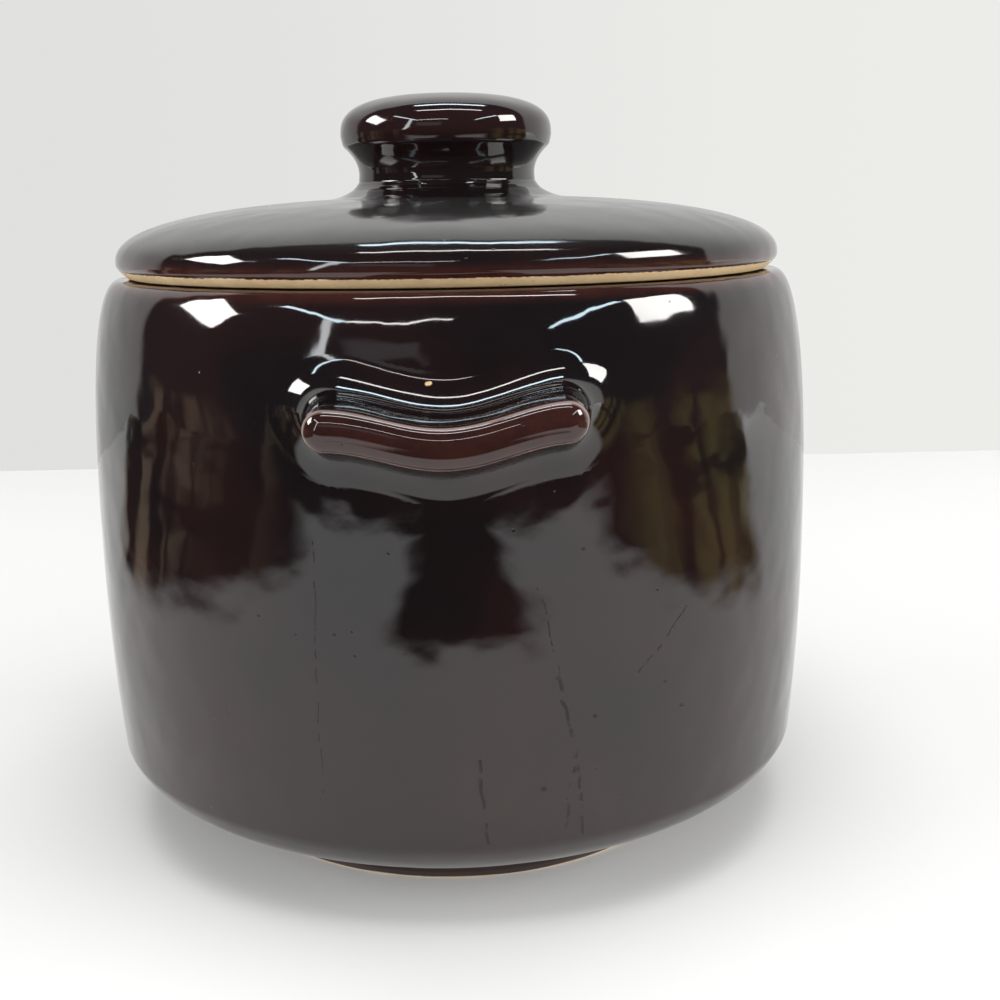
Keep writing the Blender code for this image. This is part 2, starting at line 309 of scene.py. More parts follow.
def lid_profile():
    """Lid from under the knob, over the dome to the bare band, along the seat and under the hollow."""
    points = [(0.0, dome_height(DOME_START)), (DOME_START, dome_height(DOME_START))]
    for across, up in superellipse(DOME_STEPS, DOME_FULLNESS):
        if LID_RADIUS * across > DOME_START:
            points.append((LID_RADIUS * across, BODY_HEIGHT + LID_EDGE_HEIGHT + DOME_HEIGHT * up))
    edge_drop = LID_EDGE_HEIGHT - BAND_HEIGHT - GLAZE_ROLL
    for step in range(1, LID_EDGE_STEPS + 1):
        rise = LID_EDGE_HEIGHT - edge_drop * step / LID_EDGE_STEPS
        points.append((edge_radius(rise), BODY_HEIGHT + rise))
    flange_outer = MOUTH_RADIUS - FLANGE_CLEARANCE
    flange_inner = flange_outer - FLANGE_WIDTH
    seat = BODY_HEIGHT + SEAT_GAP
    band_top = LID_RADIUS - BAND_TOP_INSET
    under = rounded([
        (*points[-1], 0.0),
        (band_top, BODY_HEIGHT + BAND_HEIGHT, GLAZE_ROLL_ROUND),
        (band_top - GLAZE_ROLL, BODY_HEIGHT + BAND_HEIGHT - GLAZE_ROLL_DROP, BAND_TOP_ROUND),
        (LID_RADIUS - BAND_INSET, seat, SEAT_ROUND),
        (flange_outer, seat, FLANGE_ROUND),
        (flange_outer - FLANGE_TAPER, FLANGE_BOTTOM, FLANGE_ROUND),
        (flange_inner, FLANGE_BOTTOM, FLANGE_ROUND),
        (flange_inner, BODY_HEIGHT - HOLLOW_START_DROP, 0.0),
    ], steps=5, support=0.00005)
    points += under[1:]
    hollow_rise = KNOB_TOE - SEAT_GAP - LID_THICKNESS - BODY_HEIGHT
    for across, up in reversed(superellipse(HOLLOW_STEPS, HOLLOW_FULLNESS)):
        points.append((flange_inner * across, BODY_HEIGHT + hollow_rise * up))
    return points


def smooth_max(first, second, blend):
    """Larger of two heights, rounded where they meet."""
    near = max(blend - abs(first - second), 0.0) / blend
    return max(first, second) + 0.25 * blend * near ** 2


def tool_ring(height, bottom, top):
    """Depth of the fine rings that the turning tool left low on the knob's neck."""
    if not bottom < height < top:
        return 0.0
    fade = math.sin(math.pi * (height - bottom) / (top - bottom))
    groove = 0.5 - 0.5 * math.cos(2.0 * math.pi * (height - bottom) / TOOL_RING_PITCH)
    return TOOL_RING_DEPTH * fade * groove ** 3


def neck_radius(share, end_radius, flare):
    """Radius of the neck at a share of the way from its waist to one end."""
    return NECK_RADIUS + (end_radius - NECK_RADIUS) * share ** flare


def knob_profile():
    """Knob from the middle of its cap, over its edge and down the waisted neck, out onto the dome."""
    waist = KNOB_TOE + NECK_LOWER_HEIGHT
    edge = waist + NECK_UPPER_HEIGHT
    widest = edge + CAP_EDGE_RISE
    points = [(CAP_RADIUS * across, widest + (KNOB_TOP - widest) * up)
              for across, up in superellipse(CAP_STEPS, CAP_FULLNESS)]
    cap_edge = CAP_RADIUS - CAP_EDGE_INSET
    neck_top = neck_radius(NECK_UPPER_END, cap_edge, NECK_UPPER_FLARE)
    points += rounded([
        (*points[-1], 0.0),
        (cap_edge, edge, CAP_EDGE_ROUND),
        (neck_top, waist + NECK_UPPER_HEIGHT * NECK_UPPER_END, 0.0),
    ])[1:]
    for step in range(1, NECK_UPPER_STEPS):
        share = NECK_UPPER_END * (1.0 - step / NECK_UPPER_STEPS)
        radius = neck_radius(share, cap_edge, NECK_UPPER_FLARE)
        points.append((radius, waist + NECK_UPPER_HEIGHT * share))
    for step in range(1, TOE_LAST_STEP + 1):
        share = step / NECK_LOWER_STEPS
        radius = neck_radius(share, TOE_RADIUS, NECK_LOWER_FLARE)
        if radius > TOE_END_RADIUS:
            break
        height = smooth_max(waist - NECK_LOWER_HEIGHT * share, dome_height(radius), TOE_BLEND)
        radius -= tool_ring(height, KNOB_TOE + TOOL_RING_START, waist)
        sink = TOE_SINK * max((radius - TOE_RADIUS) / (TOE_END_RADIUS - TOE_RADIUS), 0.0)
        points.append((radius, height - sink))
    last_radius, last_height = points[-1]
    base = last_height - KNOB_BASE_DEPTH
    return points + [(last_radius, base), (0.0, base)]


# Meshes

def wobble(angle, height):
    """How far the wall lies inside its true circle: the slow unevenness of a hand-finished pot."""
    wave = 0.0
    for count, change, start, share in WOBBLE_WAVES:
        wave += share * math.sin(count * angle + change * height + start)
    return WOBBLE * 0.5 * (1.0 + wave / WOBBLE_PEAK)


def new_piece(name, vertices, faces):
    """Mesh object with faces that point outward and smooth shading."""
    mesh = bpy.data.meshes.new(name)
    mesh.from_pydata(vertices, [], faces)
    work = bmesh.new()
    work.from_mesh(mesh)
    bmesh.ops.remove_doubles(work, verts=work.verts, dist=MERGE_DISTANCE)
    bmesh.ops.recalc_face_normals(work, faces=work.faces)
    work.to_mesh(mesh)
    work.free()
    mesh.shade_smooth()
    piece = bpy.data.objects.new(name, mesh)
    bpy.context.scene.collection.objects.link(piece)
    return piece


def turned(name, profile, steps):
    """Turned piece whose profile starts and ends on the axis."""
    vertices = []
    rings = []
    for radius, height in profile:
        first = len(vertices)
        if radius < ON_AXIS:
            vertices.append((0.0, 0.0, height))
            rings.append([first] * steps)
            continue
        for step in range(steps):
            angle = 2.0 * math.pi * step / steps
            here = radius - wobble(angle, height) * min(radius / BODY_RADIUS, 1.0)
            vertices.append((here * math.cos(angle), here * math.sin(angle), height))
        rings.append(list(range(first, first + steps)))
    faces = []
    for ring, following in zip(rings, rings[1:]):
        for step in range(steps):
            after = (step + 1) % steps
            around = (ring[step], ring[after], following[after], following[step])
            faces.append(tuple(dict.fromkeys(around)))
    return new_piece(name, vertices, faces)


def lug_middle_drop(across):
    """How far the lug's middle line dips below its ends, at a distance from its centre."""
    share = min(abs(across) / LUG_DIP_HALF_LENGTH, 1.0)
    return LUG_DIP * 0.5 * (1.0 + math.cos(math.pi * share))


def lug_outline():
    """Directions round the lug's section: (middle x, share across, share up) of each point."""
    run = LUG_HALF_WIDTH - LUG_HALF_THICKNESS
    outline = []
    for side in (1, -1):
        for step in range(LUG_EDGE_STEPS + 1):
            outline.append((side * run * (1.0 - 2.0 * step / LUG_EDGE_STEPS), 0.0, float(side)))
        for step in range(1, LUG_END_STEPS):
            angle = math.pi * step / LUG_END_STEPS
            outline.append((-side * run, -side * math.sin(angle), side * math.cos(angle)))
    return outline


def root_growth(distance, depth, growth):
    """Growth of the root's fillet at a distance from the wall."""
    if distance >= depth:
        return 0.0
    share = 1.0 - max(distance, 0.0) / depth
    return growth * (1.0 - math.sqrt(max(1.0 - share ** 2, 0.0)))


def lug_stations():
    """Places along the lug, toe to nose: (distance from the wall, toe, share of its thickness)."""
    deepest = max(ROOT_DEPTH_ABOVE, ROOT_DEPTH_BELOW, ROOT_DEPTH_SIDE)
    stations = [
        (-ROOT_INSIDE, ROOT_TOE, 1.0),
        (-ROOT_SINK, ROOT_TOE, 1.0),
        (-0.3 * ROOT_SINK, 0.5 * ROOT_TOE, 1.0),
    ]
    for step in range(LUG_ROOT_STEPS + 1):
        stations.append((deepest * (step / LUG_ROOT_STEPS) ** ROOT_CROWDING, 0.0, 1.0))
    straight = LUG_REACH - LUG_NOSE_ROUND
    for step in range(1, LUG_STRAIGHT_STEPS):
        stations.append((deepest + (straight - deepest) * step / LUG_STRAIGHT_STEPS, 0.0, 1.0))
    for forward, up in superellipse(LUG_NOSE_STEPS, LUG_NOSE_FULLNESS):
        stations.append((straight + LUG_NOSE_ROUND * forward, 0.0, up))
    return stations


def lug_point(outline_point, station, tilt):
    """Point of the lug's skin on the -Y side."""
    middle, across, up = outline_point
    distance, toe, thickness = station
    share_above = 0.5 + 0.5 * math.sin(0.5 * math.pi * up)
    above = root_growth(distance, ROOT_DEPTH_ABOVE, ROOT_RISE)
    below = root_growth(distance, ROOT_DEPTH_BELOW, ROOT_FALL)
    spread = root_growth(distance, ROOT_DEPTH_SIDE, ROOT_SPREAD)
    half = LUG_HALF_THICKNESS * thickness
    along = middle + across * (half + spread + toe)
    level = up * (half + toe + below + (above - below) * share_above) - lug_middle_drop(middle)
    x = along * math.cos(tilt) - level * math.sin(tilt)
    z = LUG_HEIGHT + along * math.sin(tilt) + level * math.cos(tilt)
    plain_radius = shoulder_radius(z)
    angle = math.atan2(-math.sqrt(plain_radius ** 2 - x ** 2), x)
    wall_y = math.sqrt((plain_radius - wobble(angle, z)) ** 2 - x ** 2)
    share = max(distance, 0.0) / LUG_REACH
    nose = BODY_RADIUS + LUG_REACH - along ** 2 / (2.0 * LUG_NOSE_BOW_RADIUS)
    y = wall_y + (nose - wall_y) * share + min(distance, 0.0)
    return x, -y, z


def lug(name, tilt, rear):
    """Lug handle: a wavy bar drawn out of the wall, with a flared root and a crowned nose."""
    outline = lug_outline()
    count = len(outline)
    stations = lug_stations()
    vertices = []
    for station in stations:
        for point in outline:
            x, y, z = lug_point(point, station, tilt)
            vertices.append((-x, -y, z) if rear else (x, y, z))
    faces = [tuple(range(count))]
    for row in range(len(stations) - 1):
        for index in range(count):
            after = (index + 1) % count
            low = row * count
            faces.append((low + index, low + after, low + count + after, low + count + index))
    return new_piece(name, vertices, faces)


# Materials

# Share of a stroke's half width that is full
STROKE_CORE = 0.4


class Graph:
    """Short ways to add nodes to a tree."""

    def __init__(self, tree):
        self.tree = tree
        tree.nodes.clear()

    def node(self, kind, **settings):
        """New node with its settings."""
        made = self.tree.nodes.new(kind)
        for name, value in settings.items():
            setattr(made, name, value)
        return made

    def feed(self, socket, value):
        """Links a socket to another one, or sets its value."""
        if isinstance(value, bpy.types.NodeSocket):
            self.tree.links.new(value, socket)
        elif value is not None:
            socket.default_value = value

    def feed_all(self, node, values):
        """Feeds inputs of a node, each given by its name or number."""
        for name, value in values.items():
            self.feed(node.inputs[name], value)

    def math(self, operation, first, second=None, third=None, clamp=False):
        """Result of a Math node."""
        made = self.node("ShaderNodeMath", operation=operation, use_clamp=clamp)
        for socket, value in zip(made.inputs, (first, second, third)):
            self.feed(socket, value)
        return made.outputs[0]

    def product(self, first, *factors):
        """First value times each factor in turn."""
        for factor in factors:
            first = self.math("MULTIPLY", first, factor)
        return first

    def largest(self, first, *others):
        """Largest of the values."""
        for other in others:
            first = self.math("MAXIMUM", first, other)
        return first

    def away(self, value, centre):
        """Distance of a value from a centre."""
        return self.math("ABSOLUTE", self.math("SUBTRACT", value, centre))

    def axes(self, vector):
        """X, Y and Z of a vector."""
        made = self.node("ShaderNodeSeparateXYZ")
        self.feed(made.inputs[0], vector)
        return tuple(made.outputs)

    def ramp(self, value, low, high, start=0.0, end=1.0):
        """Smooth change from start to end as the value goes from low to high."""
        made = self.node("ShaderNodeMapRange", interpolation_type="SMOOTHSTEP")
        self.feed_all(made, {"Value": value, "From Min": low, "From Max": high,
                             "To Min": start, "To Max": end})
        return made.outputs["Result"]

    def mix(self, share, first, second):
        """Colour that goes from the first to the second as the share goes from 0 to 1."""
        made = self.node("ShaderNodeMix", data_type="RGBA")
        self.feed_all(made, {0: share, 6: first, 7: second})
        return made.outputs[2]

    def mix_values(self, share, first, second):
        """Value that goes from the first to the second as the share goes from 0 to 1."""
        made = self.node("ShaderNodeMix", data_type="FLOAT")
        self.feed_all(made, {0: share, 2: first, 3: second})
        return made.outputs[0]

    def mix_shaders(self, share, first, second):
        """Shader that goes from the first to the second as the share goes from 0 to 1."""
        made = self.node("ShaderNodeMixShader")
        self.feed_all(made, {0: share, 1: first, 2: second})
        return made.outputs[0]

    def noise(self, vector, scale, detail=2.0, rough=0.5):
        """Soft noise, about 0.5 on average."""
        made = self.node("ShaderNodeTexNoise")
        self.feed_all(made, {"Vector": vector, "Scale": scale, "Detail": detail, "Roughness": rough})
        return made.outputs[0]

    def cells(self, vector, scale):
        """Distance from the middle of the nearest of many scattered cells."""
        made = self.node("ShaderNodeTexVoronoi")
        self.feed_all(made, {"Vector": vector, "Scale": scale})
        return made.outputs["Distance"]

    def stretched(self, vector, scale):
        """Vector with each axis scaled."""
        made = self.node("ShaderNodeMapping")
        self.feed_all(made, {"Vector": vector, "Scale": scale})
        return made.outputs["Vector"]

    def stroke(self, across, up, start, end, width):
        """1 on a thin line between two places, each (across, up), and 0 beyond its half width."""
        run = Vector(end) - Vector(start)
        share = run / run.length_squared
        from_start = self.math("SUBTRACT", across, start[0]), self.math("SUBTRACT", up, start[1])
        along = self.math("ADD", self.product(from_start[0], share.x),
                          self.product(from_start[1], share.y), clamp=True)
        off_x, off_y = [self.math("SUBTRACT", part, self.product(along, length))
                        for part, length in zip(from_start, run)]
        square = self.math("ADD", self.product(off_x, off_x), self.product(off_y, off_y))
        return self.ramp(self.math("SQRT", square), width, STROKE_CORE * width)

    def show(self, kind, shader):
        """Links a shader to the tree's output."""
        output = self.node(kind)
        self.feed(output.inputs["Surface"], shader)


def new_material(name):
    """Material with an empty tree, and its graph."""
    material = bpy.data.materials.new(name)
    material.use_nodes = True
    return material, Graph(material.node_tree)


def colour(red, green, blue):
    """Opaque colour."""
    return (red, green, blue, 1.0)


GLAZE_DEEP = colour(0.0055, 0.0041, 0.0045)
GLAZE_BROWN = colour(0.0118, 0.0056, 0.0053)
GLAZE_THIN = colour(0.060, 0.0165, 0.0110)
GLAZE_AMBER = colour(0.20, 0.075, 0.026)
# Light line on the lug's nose edge: thin glaze with a painted highlight
GLAZE_CREST_HIGHLIGHT = colour(0.24, 0.155, 0.135)
# Grey mixed in over the lid's worn top: painted sheen
GLAZE_PAINTED_SHEEN = colour(0.024, 0.023, 0.023)
GLAZE_MARK = colour(0.010, 0.005, 0.004)
CLAY = colour(0.68, 0.50, 0.285)
CLAY_DARK = colour(0.50, 0.36, 0.19)
CLAY_DOT = colour(0.06, 0.03, 0.015)
GLAZE_IOR = 1.60

# Roughness, and what wear and marks add to it
GLOSS_ROUGHNESS = (0.045, 0.085)
WORN_ROUGHNESS = 0.060
WORN_LEAST_ROUGHNESS = 0.015
MARK_ROUGHNESS = 0.6
CLAY_ROUGHNESS = 0.85

# How far apart the details lie: the larger the scale, the finer the detail
CLOUD_SCALE = 26.0
MOTTLE_SCALE = 190.0
SPECK_SCALE = 330.0
SPECK_GROUP_SCALE = 60.0
CLAY_CLOUD_SCALE = 140.0
CLAY_DOT_SCALE = 900.0
CLAY_DOT_GROUP_SCALE = 300.0
GLOSS_SCALE = 75.0
SWELL_SCALE = 62.0
WAVE_SCALE = 125.0
PEEL_SCALE = 420.0
PIT_SCALE = 240.0
PIT_GROUP_SCALE = 45.0
PIT_STRETCH = (1.0, 1.0, 0.8)
GRAIN_SCALE = 2600.0

# How strongly the details show
SPECK_SHARE = 0.5
CLAY_CLOUD_SHARE = 0.55
CLAY_DOT_SHARE = 0.8
SWELL_HEIGHT = 0.00034
WAVE_HEIGHT = 0.00011
PEEL_HEIGHT = 0.0000075
PIT_DEPTH = 0.00008
GRAIN_HEIGHT = 0.00009

# Flaws in the front wall's glaze, each place (across, up)
RUNS = (
    (((0.0184, 0.0829), (0.0228, 0.0619)), 0.00028),
    (((0.0228, 0.0619), (0.0270, 0.0379), (0.0280, 0.0245)), 0.00062),
    (((0.0266, 0.0452), (0.0238, 0.0262)), 0.00055),
    (((0.0049, 0.0446), (0.0059, 0.0352), (0.0070, 0.0242)), 0.00050),
    (((0.0521, 0.0737), (0.0457, 0.0662), (0.0403, 0.0610)), 0.00036),
    (((-0.0290, 0.0933), (-0.0296, 0.0579), (-0.0298, 0.0357)), 0.00022),
)
RUN_WAVER = 0.0022
RUN_WAVER_SCALE = 130.0
RUN_BREAK_SCALE = 330.0
PITS = (
    ((0.0471, 0.0574), 0.0006), ((0.0513, 0.0505), 0.0007),
    ((-0.0422, 0.0757), 0.0005), ((-0.0253, 0.0731), 0.0004),
    ((-0.0210, 0.0686), 0.0004), ((-0.0100, 0.0695), 0.0004),
    ((0.0223, 0.0624), 0.0006), ((0.0306, 0.0524), 0.0006),
    ((0.0191, 0.0366), 0.0008), ((0.0280, 0.0906), 0.0005),
)
PIT_HALF_LENGTH = 0.0001
PINHOLE = (-0.0037, 0.1267)
PINHOLE_RADIUS = 0.00058
PINHOLE_HALF_LENGTH = 0.0003
PINHOLE_UNEVENNESS = 0.0006
PINHOLE_EDGE_SCALE = 900.0
PINHOLE_SHARE = 0.6

# Where the glaze is bare, thin or worn, and where a sheen and a highlight are painted on
FOOT_LINE = (0.0001, 0.0004)
FOOT_LINE_SCALE = 55.0
FOOT_LINE_EDGE = (-0.0002, 0.0001)
FOOT_SIDE = (FOOT_RADIUS + 0.003, FOOT_RADIUS + 0.001)
RIM_THIN = (BODY_HEIGHT - 0.0035, BODY_HEIGHT - 0.0005)
RIM_THINNESS = 0.55
FOOT_THIN = (0.0050, 0.0015)
FOOT_THINNESS = 0.35
LOWER_WALL_THIN = (0.090, 0.030)
LOWER_WALL_THINNESS = 0.09
BAND_LINE = BODY_HEIGHT + BAND_HEIGHT - 0.0001
BAND_LINE_FINE = (-0.00010, 0.00012)
BAND_LINE_FINE_SCALE = 800.0
BAND_LINE_WIDE = (-0.00004, 0.00006)
BAND_LINE_WIDE_SCALE = 60.0
BAND_LINE_EDGE = (-0.00014, 0.00014)
BARE_UNDERSIDE = (0.0698, 0.0705)
LID_EDGE_THIN = (BODY_HEIGHT + 0.0062, BODY_HEIGHT + 0.0030)
LID_EDGE_THINNESS = 0.55
# Heights over which the lid's top wears duller and takes a painted grey sheen
LID_WEAR_AND_SHEEN = (BODY_HEIGHT + 0.0070, BODY_HEIGHT + 0.0120)
CAP_SIDE_HEIGHT = KNOB_TOP - 0.0085
CAP_SIDE_THIN = (0.0045, 0.0010)
CAP_SIDE_THINNESS = 0.10
CAP_SIDE = (CAP_RADIUS - 0.003, CAP_RADIUS - 0.0008)
NOSE_THIN = (0.0070, 0.0015)
NOSE_THINNESS = 0.37
# Light line over the nose's edge: thin glaze there, lightened into a painted highlight
CREST_BEHIND_NOSE = 0.0019
CREST_EDGE = (0.0007, 0.0001)
CREST_SCALE = 110.0
CREST_SHARE = (0.45, 0.85)


def glaze_spot(graph):
    """Place on the pot, its x, y and z, and its radius from the turning axis."""
    place = graph.node("ShaderNodeTexCoord").outputs["Object"]
    x, y, z = graph.axes(place)
    square = graph.math("ADD", graph.product(x, x), graph.product(y, y))
    return {"place": place, "x": x, "y": y, "z": z, "radius": graph.math("SQRT", square)}


def glaze_colour(graph, spot, bare_share, thin_share, crest_highlight):
    """Clouded dark brown, redder where thin, lighter on a crest with thin glaze and a painted highlight,
    and amber beside bare clay.
    """
    place = spot["place"]
    clouds = graph.ramp(graph.noise(place, CLOUD_SCALE, 3.0, 0.55), 0.38, 0.66)
    mottle = graph.ramp(graph.noise(place, MOTTLE_SCALE, 3.0, 0.6), 0.30, 0.62, 0.55, 1.0)
    thin_mottled = graph.math("MULTIPLY", thin_share, mottle, clamp=True)
    glazed = graph.mix(thin_mottled, graph.mix(clouds, GLAZE_DEEP, GLAZE_BROWN), GLAZE_THIN)
    specks = graph.ramp(graph.cells(place, SPECK_SCALE), 0.10, 0.03)
    few = graph.ramp(graph.noise(place, SPECK_GROUP_SCALE, 1.0), 0.60, 0.68)
    glazed = graph.mix(graph.product(specks, few, SPECK_SHARE), glazed, GLAZE_THIN)
    if crest_highlight:
        # Painted highlight along the crest, over the real thinning of the glaze there
        glazed = graph.mix(crest_highlight(graph, spot), glazed, GLAZE_CREST_HIGHLIGHT)
    fringe = graph.product(graph.ramp(bare_share, 0.04, 0.42), graph.ramp(bare_share, 0.9, 0.5))
    return graph.mix(fringe, glazed, GLAZE_AMBER)


def clay_colour(graph, place):
    """Tan clay with faint darker clouds and a few small dots."""
    dots = graph.ramp(graph.cells(place, CLAY_DOT_SCALE), 0.22, 0.10)
    few = graph.ramp(graph.noise(place, CLAY_DOT_GROUP_SCALE, 2.0), 0.54, 0.62)
    clouds = graph.ramp(graph.noise(place, CLAY_CLOUD_SCALE, 4.0, 0.6), 0.3, 0.75)
    clay = graph.mix(CLAY_CLOUD_SHARE, CLAY, graph.mix(clouds, CLAY, CLAY_DARK))
    return graph.mix(graph.product(dots, few, CLAY_DOT_SHARE), clay, CLAY_DOT)


def relief(graph, place, show_clay):
    """Bump of the glaze's swell, waves, fine peel and pits, and of the clay's grain."""
    swell = graph.noise(place, SWELL_SCALE, 1.0, 0.4)
    wave = graph.noise(place, WAVE_SCALE, 1.0, 0.4)
    peel = graph.noise(place, PEEL_SCALE, 1.5, 0.5)
    grain = graph.noise(place, GRAIN_SCALE, 2.0, 0.6)
    pits = graph.ramp(graph.cells(graph.stretched(place, PIT_STRETCH), PIT_SCALE), 0.085, 0.02)
    pits = graph.product(pits, graph.ramp(graph.noise(place, PIT_GROUP_SCALE, 1.0), 0.56, 0.64))
    height = graph.math("ADD", graph.product(swell, SWELL_HEIGHT), graph.product(peel, PEEL_HEIGHT))
    height = graph.math("ADD", height, graph.product(wave, WAVE_HEIGHT))
    height = graph.math("SUBTRACT", height, graph.product(pits, PIT_DEPTH))
    height = graph.math("ADD", height, graph.product(grain, GRAIN_HEIGHT, show_clay))
    bump = graph.node("ShaderNodeBump")
    graph.feed_all(bump, {"Strength": 1.0, "Distance": 1.0, "Height": height})
    return bump.outputs["Normal"]


def glaze(name, bare, thin, wear_and_sheen=None, crest_highlight=None, marks=None):
    """Dark brown gloss glaze that breaks redder where thin, over tan clay where bare.

    Each argument but the name is a function of the graph and the spot that gives a mask, from 0 to 1.
    """
    material, graph = new_material(name)
    spot = glaze_spot(graph)
    place = spot["place"]
    bare_share = bare(graph, spot)
    show_clay = graph.ramp(bare_share, 0.45, 0.55)
    glazed = glaze_colour(graph, spot, bare_share, thin(graph, spot), crest_highlight)
    surface = graph.mix(show_clay, glazed, clay_colour(graph, place))
    gloss = graph.ramp(graph.noise(place, GLOSS_SCALE, 4.0, 0.6), 0.35, 0.75, *GLOSS_ROUGHNESS)
    if wear_and_sheen:
        wear_and_painted_light = wear_and_sheen(graph, spot)
        # Painted sheen: grey mixed in over the worn top; the roughness added below is the real wear
        surface = graph.mix(wear_and_painted_light, surface, GLAZE_PAINTED_SHEEN)
        dulled = graph.math("MULTIPLY_ADD", wear_and_painted_light, WORN_ROUGHNESS, WORN_LEAST_ROUGHNESS)
        gloss = graph.math("ADD", gloss, dulled)
    if marks:
        marked = marks(graph, spot)
        surface = graph.mix(marked, surface, GLAZE_MARK)
        gloss = graph.math("ADD", gloss, graph.product(marked, MARK_ROUGHNESS))
    shader = graph.node("ShaderNodeBsdfPrincipled")
    shader.inputs["IOR"].default_value = GLAZE_IOR
    graph.feed_all(shader, {
        "Base Color": surface,
        "Roughness": graph.mix_values(show_clay, gloss, CLAY_ROUGHNESS),
        "Normal": relief(graph, place, show_clay),
    })
    graph.show("ShaderNodeOutputMaterial", shader.outputs[0])
    return material


def no_bare(graph, spot):
    """Bare nowhere."""
    return graph.product(spot["z"], 0.0)


def in_front(graph, spot):
    """1 on the side that faces the camera."""
    return graph.math("LESS_THAN", spot["y"], 0.0)


def oblong(graph, across, up, centre, half_length, radius):
    """1 in a small oblong at a centre, (across, up), and 0 beyond its radius."""
    middle, level = centre
    return graph.stroke(across, up, (middle - half_length, level), (middle + half_length, level), radius)


def pinhole(graph, spot):
    """Small hole in the glaze over the middle of the front lug, where clay shows."""
    ragged = graph.math("SUBTRACT", graph.noise(spot["place"], PINHOLE_EDGE_SCALE, 2.0), 0.5)
    uneven = graph.product(ragged, PINHOLE_UNEVENNESS)
    hole = oblong(graph, graph.math("ADD", spot["x"], uneven), graph.math("ADD", spot["z"], uneven),
                  PINHOLE, PINHOLE_HALF_LENGTH, PINHOLE_RADIUS)
    return graph.product(hole, PINHOLE_SHARE, in_front(graph, spot))


def pot_marks(graph, spot):
    """Runs and pits in the front wall's glaze."""
    waver = graph.math("SUBTRACT", graph.noise(spot["place"], RUN_WAVER_SCALE, 2.0), 0.5)
    across = graph.math("ADD", spot["x"], graph.product(waver, RUN_WAVER))
    broken = graph.ramp(graph.noise(spot["place"], RUN_BREAK_SCALE, 2.0), 0.36, 0.52)
    runs = [graph.stroke(across, spot["z"], start, end, width)
            for line, width in RUNS for start, end in zip(line, line[1:])]
    marks = graph.product(graph.largest(*runs), broken)
    pits = [oblong(graph, spot["x"], spot["z"], centre, PIT_HALF_LENGTH, radius) for centre, radius in PITS]
    return graph.product(graph.largest(marks, *pits), in_front(graph, spot))


def pot_bare(graph, spot):
    """Bare under a ragged line just above the foot, across the underside."""
    line = graph.ramp(graph.noise(spot["place"], FOOT_LINE_SCALE, 3.0), 0.3, 0.7, *FOOT_LINE)
    below = graph.ramp(graph.math("SUBTRACT", line, spot["z"]), *FOOT_LINE_EDGE)
    foot = graph.product(below, graph.ramp(spot["radius"], *FOOT_SIDE))
    return graph.largest(foot, pinhole(graph, spot))


def pot_thin(graph, spot):
    """Thin over the rim and just above the bare foot, and slightly thinner all down the lower wall."""
    rim = graph.ramp(spot["z"], *RIM_THIN, 0.0, RIM_THINNESS)
    low = graph.ramp(spot["z"], *FOOT_THIN, 0.0, FOOT_THINNESS)
    lower_wall = graph.ramp(spot["z"], *LOWER_WALL_THIN, 0.0, LOWER_WALL_THINNESS)
    return graph.largest(rim, low, lower_wall)


def lid_bare(graph, spot):
    """Bare band, seat and flange, with a ragged upper line."""
    fine = graph.noise(spot["place"], BAND_LINE_FINE_SCALE, 3.0, 0.6)
    wide = graph.noise(spot["place"], BAND_LINE_WIDE_SCALE, 2.0)
    ragged = graph.math("ADD", graph.ramp(fine, 0.3, 0.7, *BAND_LINE_FINE),
                        graph.ramp(wide, 0.35, 0.7, *BAND_LINE_WIDE))
    line = graph.math("ADD", ragged, BAND_LINE)
    below = graph.ramp(graph.math("SUBTRACT", line, spot["z"]), *BAND_LINE_EDGE)
    return graph.product(below, graph.ramp(spot["radius"], *BARE_UNDERSIDE))


def lid_thin(graph, spot):
    """Thin round the lid's widest edge."""
    return graph.ramp(spot["z"], *LID_EDGE_THIN, 0.0, LID_EDGE_THINNESS)


def lid_wear_and_sheen(graph, spot):
    """Fine wear over the lid's top, less towards its edge: rougher gloss, and a grey tint that is painted
    sheen.
    """
    return graph.ramp(spot["z"], *LID_WEAR_AND_SHEEN)


def knob_thin(graph, spot):
    """Thin on the cap's side, thickest in the neck."""
    away = graph.away(spot["z"], CAP_SIDE_HEIGHT)
    side = graph.ramp(away, *CAP_SIDE_THIN, 0.0, CAP_SIDE_THINNESS)
    return graph.product(side, graph.ramp(spot["radius"], *CAP_SIDE))


def behind_nose(graph, spot):
    """How far a place on a lug lies behind its bowed nose."""
    bow = graph.product(spot["x"], spot["x"], 0.5 / LUG_NOSE_BOW_RADIUS)
    reach = graph.math("ADD", graph.math("ABSOLUTE", spot["y"]), bow)
    return graph.math("SUBTRACT", BODY_RADIUS + LUG_REACH, reach)


def lug_thin(graph, spot):
    """Thin over the nose, where the glaze ran back from it."""
    return graph.ramp(behind_nose(graph, spot), *NOSE_THIN, 0.0, NOSE_THINNESS)


def lug_crest_highlight(graph, spot):
    """Light line over the edge of the nose: the glaze breaks thin there, and the line is lightened as a
    painted highlight.
    """
    away = graph.away(behind_nose(graph, spot), CREST_BEHIND_NOSE)
    # Patchy share of that thin glaze and painted highlight
    wear_and_painted_light = graph.ramp(graph.noise(spot["place"], CREST_SCALE, 2.0), 0.3, 0.6, *CREST_SHARE)
    return graph.product(graph.ramp(away, *CREST_EDGE), wear_and_painted_light)


def dress(piece, node, body, material):
    """Gives a piece its material and its body, and hides the solid that it stands for."""
    piece.data.materials.append(material)
    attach(piece, body)
    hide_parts(node)


# Studio

